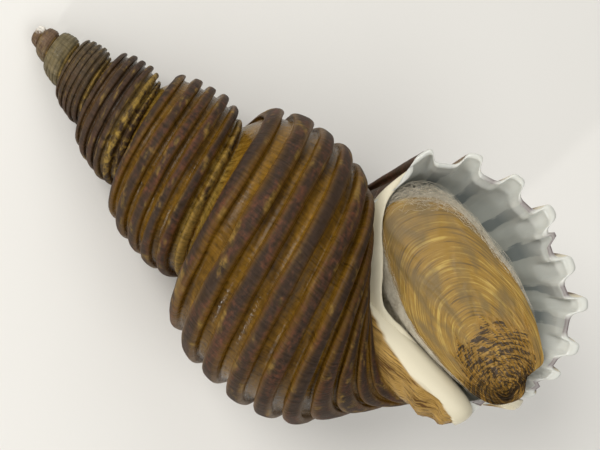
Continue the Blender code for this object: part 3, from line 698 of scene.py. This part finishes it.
def buildOperculum(material):
    # a polar grid from the nucleus out to the outline, over the edge and back underneath; its height is the
    # solid's dome with growth ledges in rings about the nucleus
    around = np.arange(horn["around"]) / horn["around"]
    ring = plateEdge(around)
    # inner rings follow a calmer outline, so that the notch isn't drawn in to the nucleus
    reach = range(-horn["calm"], horn["calm"] + 1)
    calm = sum(np.roll(ring, k, 0) for k in reach) / len(reach)
    nucleus = np.array(horn["nucleus"])
    top = np.linspace(0, 1, horn["rings"] + 1) ** 0.9
    angle = 2 * np.pi * around[None, :]
    edge, under = horn["edgeRings"], horn["underRings"]
    # share of the way out from the nucleus, and of the way over the edge
    s = np.concatenate([top, np.ones(edge), np.linspace(1, 0, under + 1)[1:]])[:, None]
    over = np.concatenate([0 * top, np.linspace(0, 1, edge + 1)[1:], np.ones(under)])[:, None]
    inset = 0.985 + 0.015 * np.sin(np.pi * over)
    outer = mix(calm, ring, ramp(s, 0.5, 0.45)[..., None])
    flat = nucleus + (outer - nucleus) * (s * inset)[..., None]
    middle, half, slant = horn["oval"]
    spot = (flat - middle) @ [[math.cos(slant), -math.sin(slant)], [math.sin(slant), math.cos(slant)]]
    oval = ((spot / half) ** 2).sum(-1)
    height = plateRise(flat[..., 0]) + horn["dome"] * (1 - mix(s ** 2, oval, 0.6))
    ringReach = np.linalg.norm(ring - nucleus, axis=1)[None, :]
    distance = s * mix(ringReach, ringReach.max(), 0.6)  # lines run between rings and copies of the outline
    east, north = np.cos(angle), np.sin(angle)
    wander = 1.5 * noise(3 * east + 9, 3 * north + 9, 5)
    lines = rough(s * horn["lineCount"] + wander, 1.5 * east + 20 + 1.5 * north, 6)
    folds = rough(s * horn["foldCount"] + wander, east + 30 + 1.5 * north, 7)
    right = np.array(view["right"][:2])
    offset = flat - np.array(horn["frayed"])
    across = (offset @ right) / horn["frayedSize"][0]
    upward = (offset @ np.array([-right[1], right[0]])) / horn["frayedSize"][1]
    old = smooth((1.16 - np.hypot(across, upward) + 0.3 * folds + 0.25 * lines) / 0.35)
    ledge = (s * horn["ledgeCount"] + 0.7 * folds + 0.3 * lines) % 1.0
    folded = horn["foldHeight"] * folds * smooth(s / 0.2) * smooth((1 - s) / 0.05)
    surface = horn["lineHeight"] * lines + folded + old * (0.45 * (ledge - 0.5) + 0.25 * lines)
    surface = surface * smooth((1 - s) / 0.02 + 0.15)
    height = height + np.where(over > 0, 0, surface) - horn["thickness"] * over
    points = np.concatenate([flat, height[..., None]], -1)
    points[0] = points[0].mean(0)
    points[-1] = points[-1].mean(0)
    index = numbered(points)
    same = index.copy()
    same[0], same[-1] = index[0, 0], index[-1, 0]
    growthAt = np.stack(np.broadcast_arrays(distance, 14 * east, 14 * north), -1)
    ringsAt = np.concatenate([(s * ringReach)[..., None], growthAt[..., 1:]], -1)
    values = {"growth": growthAt, "rings": ringsAt, "flake": old * (0.6 + 0.4 * ledge), "fold": folds}
    quads = gridQuads(index, closed=True)
    return makePiece("operculumPlate", toFrame(points), quads, values, material, same.ravel())


def hornMaterial():
    material, tree = startMaterial("operculum horn")
    place, rings = [addNode(tree, "Attribute", out="Vector", attribute_name=name)
                    for name in ("growth", "rings")]
    flake, fold = [addNode(tree, "Attribute", out="Fac", attribute_name=name) for name in ("flake", "fold")]
    streaks = []
    for source, name in [(place, "lines"), (place, "bands"), (rings, "cracks")]:
        spacing, stretch, detail, roughness, distortion = horn[name]
        at = addNode(tree, "Mapping", {"Vector": source, "Scale": (1 / spacing, stretch, stretch)})
        streaks.append(addNode(tree, "TexNoise", {
            "Vector": at, "Scale": 1.0, "Detail": detail, "Roughness": roughness, "Distortion": distortion}))
    lines, bands, cracks = streaks
    stains = addNode(tree, "TexNoise", {"Vector": place, "Scale": 1 / horn["stainSize"], "Detail": 4.0})
    tone = addNode(tree, "Math", [bands, 0.42], operation="MULTIPLY")
    tone = addNode(tree, "Math", [lines, 0.58, tone], operation="MULTIPLY_ADD")
    base = addNode(tree, "ValToRGB", {"Fac": tone}, stops=[
        (0.38, horn["tan"]), (0.47, horn["gold"]), (0.53, horn["gold"]), (0.61, horn["straw"])])
    grey = addNode(tree, "MapRange", [stains, 0.44, 0.64, 0.0, 0.8])
    ochre = addNode(tree, "Math", [flake, 0.8], operation="MULTIPLY")
    torn = addNode(tree, "Math", [flake, 0.6, cracks], operation="MULTIPLY_ADD")
    umber = addNode(tree, "MapRange", [torn, 0.93, 1.04, 0.0, 0.93])
    for colour, share in [("grey", grey), ("ochre", ochre), ("umber", umber)]:
        base = addNode(tree, "Mix", {
            "Factor_Float": share, "A_Color": base, "B_Color": horn[colour]}, data_type="RGBA")
    height = addNode(tree, "Math", [fold, 0.3, lines], operation="MULTIPLY_ADD")
    bump = addNode(tree, "Bump", {"Height": height, "Strength": 0.6, "Distance": 0.0002})
    finishMaterial(tree, {"Base Color": base, "Roughness": 0.5, "Normal": bump, "IOR": 1.54,
                          "Specular IOR Level": 0.35})
    return material


# Cotton wool: bleached plant hairs about 0.02 mm thick, drawn nearly twice as thick so that they show, soft
# and matt.
wool = {
    "fibres": 3000, "segments": 8, "radius": 0.018, "colour": "#ddd4bf", "shadow": "#bdb198",
    "wadShadedColour": "#dcd0b5", "wadShadow": "#b3a587",  # painted shade: the wad is coloured darker than the fibres, as deep in the wad less light comes back
    "tuftsPerMetre": 900.0, "lumps": 0.35, "lumpsPerMetre": (420, 300),
    # the wad keeps inside this share of the plate's edge on its open side, and may pass it on the other
    "centre": (87.0, 15.5), "open": 0.82, "full": 1.3,
    "bulge": (-2.27, 0.6, 0.2),  # direction from the middle, half width, share: where it swells to the lip
    # where the fibres gather round the plate: place, spread, share, how far out they lie and how high
    "spots": [(0.062, 0.024, 0.15, 0.985, 0.0), (0.17, 0.05, 0.14, 1.0, 0.0), (0.84, 0.04, 0.71, 1.03, 0.5)],
    "runs": 0.07, "strays": 0.03, "heights": (-0.9, 0.15),  # how far each runs round, strays out and lies
}


def cottonMaterial(name, colour, shadow):
    material, tree = startMaterial(name)
    place = addNode(tree, "TexCoord", out="Object")
    tufts = addNode(tree, "TexNoise", {"Vector": place, "Scale": wool["tuftsPerMetre"],
                                     "Detail": 5.0, "Roughness": 0.7})
    base = addNode(tree, "ValToRGB", {"Fac": tufts}, stops=[(0.35, shadow), (0.6, colour)])
    bump = addNode(tree, "Bump", {"Height": tufts, "Strength": 0.8, "Distance": 0.0004})
    finishMaterial(tree, {"Base Color": base, "Roughness": 0.95, "Normal": bump, "IOR": 1.5,
                          "Specular IOR Level": 0.2, "Sheen Weight": 0.15})
    return material


def buildCottonWad(material):
    # the solid's form, rounded by subdivision, then pushed in and out by noise to lumps
    wad = addObject("cottonWad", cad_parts["cotton_wad"].data.copy())
    work = bmesh.new()
    work.from_mesh(wad.data)
    bmesh.ops.remove_doubles(work, verts=work.verts, dist=1e-6)
    work.to_mesh(wad.data)
    work.free()
    wad.data.materials.clear()
    wad.data.materials.append(material)
    rounding = wad.modifiers.new("rounding", "SUBSURF")
    rounding.levels = rounding.render_levels = 3
    shape = bpy.data.meshes.new_from_object(wad.evaluated_get(bpy.context.evaluated_depsgraph_get()))
    wad.modifiers.clear()
    wad.data = shape
    count = len(shape.vertices)
    co, normal = np.empty(count * 3), np.empty(count * 3)
    shape.vertices.foreach_get("co", co)
    shape.vertices.foreach_get("normal", normal)
    co, normal = co.reshape(-1, 3), normal.reshape(-1, 3)
    sideways, upwards = wool["lumpsPerMetre"]
    push = rough(co[:, 0] * sideways, co[:, 1] * sideways + co[:, 2] * upwards, 0)
    co += normal * (push * wool["lumps"] * 0.001)[:, None]
    # towards the outer lip it ends short of the plate's edge
    flat = fromFrame(co)
    centre = np.array(wool["centre"])
    edge = curve(horn["outline"] + horn["outline"][:1], np.linspace(0, len(horn["outline"]), 200)) - centre
    order = np.argsort(np.arctan2(edge[:, 1], edge[:, 0]))
    offset = flat[:, :2] - centre
    angle = np.arctan2(offset[:, 1], offset[:, 0])
    limit = np.interp(angle, np.arctan2(edge[:, 1], edge[:, 0])[order], np.linalg.norm(edge, axis=1)[order],
                      period=2 * np.pi)
    way, width, swell = wool["bulge"]
    limit *= mix(wool["open"], wool["full"], smooth(0.5 + 0.5 * np.cos(angle - way)))
    offset *= (1 + swell * np.exp(-((angle - way) / width) ** 2))[:, None]
    flat[:, :2] = centre + offset * np.minimum(1, limit / np.linalg.norm(offset, axis=1))[:, None]
    co = toFrame(flat)
    shape.vertices.foreach_set("co", co.ravel())
    shape.update()
    shape.shade_smooth()
    return wad


def buildCottonFibres(material):
    # each fibre wanders round the plate's edge: its place round the outline runs on at a steady rate and its
    # reach and height are sines with random phases; its tube has three sides
    count, steps = wool["fibres"], wool["segments"] + 1
    place, span, share, out, rise = np.array(wool["spots"]).T
    which = rng.choice(len(share), count, p=share)
    start = place[which] + rng.normal(size=count) * span[which]
    line = np.linspace(-0.5, 0.5, steps)[None, :]
    ring = plateEdge((start[:, None] + line * rng.normal(0.0, wool["runs"], (count, 1))) % 1.0)
    nucleus = np.array(horn["nucleus"])
    turn, shift = rng.uniform(3, 9, (count, 1)), rng.uniform(0, 6.3, (count, 1))
    reach = rng.normal(0.0, wool["strays"], (count, 1)) + out[which][:, None]
    reach = reach + 0.02 * np.sin(line * turn + shift)
    flat = nucleus + (ring - nucleus) * reach[..., None]
    above = rng.uniform(*wool["heights"], (count, 1)) + rise[which][:, None]
    above = above + 0.3 * np.sin(line * turn - shift)
    dome = horn["dome"] * (1 - np.minimum(reach, 1) ** 2)
    height = plateRise(flat[..., 0]) + dome + above - 12 * np.maximum(reach - 1, 0)
    path = np.concatenate([flat, height[..., None]], -1)
    forward = np.gradient(path, axis=1)
    forward /= np.linalg.norm(forward, axis=-1, keepdims=True) + 1e-9
    side = np.cross(forward, [0.0, 0.0, 1.0])
    side /= np.linalg.norm(side, axis=-1, keepdims=True) + 1e-9
    up = np.cross(side, forward)
    taper = wool["radius"] * np.sqrt(np.clip(1 - (2 * line) ** 4, 0.05, 1))[..., None]
    corners = [path + taper * (math.cos(a) * side + math.sin(a) * up) for a in (0.0, 2.094, 4.189)]
    points = toFrame(np.stack(corners, 2))
    index = numbered(points)
    wrapped = np.concatenate([index, index[..., :1]], -1)
    here, ahead = wrapped[:, :-1], wrapped[:, 1:]
    quads = np.stack([here[..., :-1], here[..., 1:], ahead[..., 1:], ahead[..., :-1]], -1)
    return makePiece("cottonFibres", points, quads.reshape(-1, 4), {}, material)


studio = {
    "floor": "#e6e3dc", "floorHalf": 4.0, "grainPerMetre": 1500.0, "world": "#e6e6e6", "worldStrength": 0.32,
    "lights": [  # name, place from the target in mm along the view's right, up and back, size mm, watts
        ("keyLight", (-400, 480, 1010), 650, 10.2),
        ("fillLight", (450, -450, 850), 1050, 4.4),
        ("rimLight", (150, 900, 400), 650, 2.4),
        ("sideLight", (-540, -640, 420), 50, 3.2),
    ],
}


def buildCamera():
    # stands off from the target by the distance along the shell's own way out of the aperture
    target = Vector(toFrame(np.array(view["target"]), None))
    right = Vector(view["right"]).normalized()
    back = Vector((0, 0, 1))
    up = back.cross(right)
    axes = lay @ Matrix((right, up, back)).transposed()
    camera = addObject("camera", bpy.data.cameras.new("camera"))
    camera.data.lens = view["lens"]
    camera.data.sensor_width = view["sensor"]
    camera.data.clip_start = 0.01
    away = axes @ Vector((0, 0, view["distance"] * 0.001))
    camera.matrix_world = Matrix.Translation(target + away) @ axes.to_4x4()
    bpy.context.scene.camera = camera
    return target, axes


def buildStudio(target, axes):
    # floor at height 0, an even sky, and round lights that each face the target
    material, tree = startMaterial("pale paper floor")
    place = addNode(tree, "TexCoord", out="Object")
    grain = addNode(tree, "TexNoise", {"Vector": place, "Scale": studio["grainPerMetre"], "Detail": 2.0})
    bump = addNode(tree, "Bump", {"Height": grain, "Strength": 0.1, "Distance": 0.0001})
    finishMaterial(tree, {"Base Color": studio["floor"], "Roughness": 0.85, "Normal": bump})
    half = studio["floorHalf"]
    plane = bpy.data.meshes.new("floor")
    corners = [(x * half, y * half, 0) for x, y in ((-1, -1), (1, -1), (1, 1), (-1, 1))]
    plane.from_pydata(corners, [], [(0, 1, 2, 3)])
    plane.materials.append(material)
    floor = addObject("floor", plane)
    world = bpy.data.worlds.new("softRoom")
    bpy.context.scene.world = world
    world.use_nodes = True
    background = world.node_tree.nodes["Background"]
    background.inputs["Color"].default_value = hexColour(studio["world"])
    background.inputs["Strength"].default_value = studio["worldStrength"]
    for name, place, size, power in studio["lights"]:
        light = bpy.data.lights.new(name, "AREA")
        light.shape = "DISK"
        light.size = size * 0.001
        light.energy = power
        lamp = addObject(name, light)
        lamp.location = target + axes @ (Vector(place) * 0.001)
        lamp.rotation_euler = (target - lamp.location).to_track_quat("-Z", "Y").to_euler()
    bpy.context.scene.view_settings.view_transform = "Standard"


target, axes = buildCamera()
buildStudio(target, axes)
print("camera and studio are in place")

periostracum, porcelain = periostracumMaterial(), porcelainMaterial()
wadCotton = cottonMaterial("cotton wool", wool["wadShadedColour"], wool["wadShadow"])
fibreCotton = cottonMaterial("cotton fibres", wool["colour"], wool["shadow"])
for piece, node, slot in [
        (buildOutside(periostracum), "shell", "shell"), (buildLining(porcelain), "shell", "shell"),
        (buildInnerLip(periostracum), "shell", "shell"),
        (buildOperculum(hornMaterial()), "operculum", "operculum"),
        (buildCottonWad(wadCotton), "cotton_wad", "cotton"),
        (buildCottonFibres(fibreCotton), "cotton_wad", "cotton")]:
    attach(piece, "root")
    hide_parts(node)
print("the pieces ride on the frame")
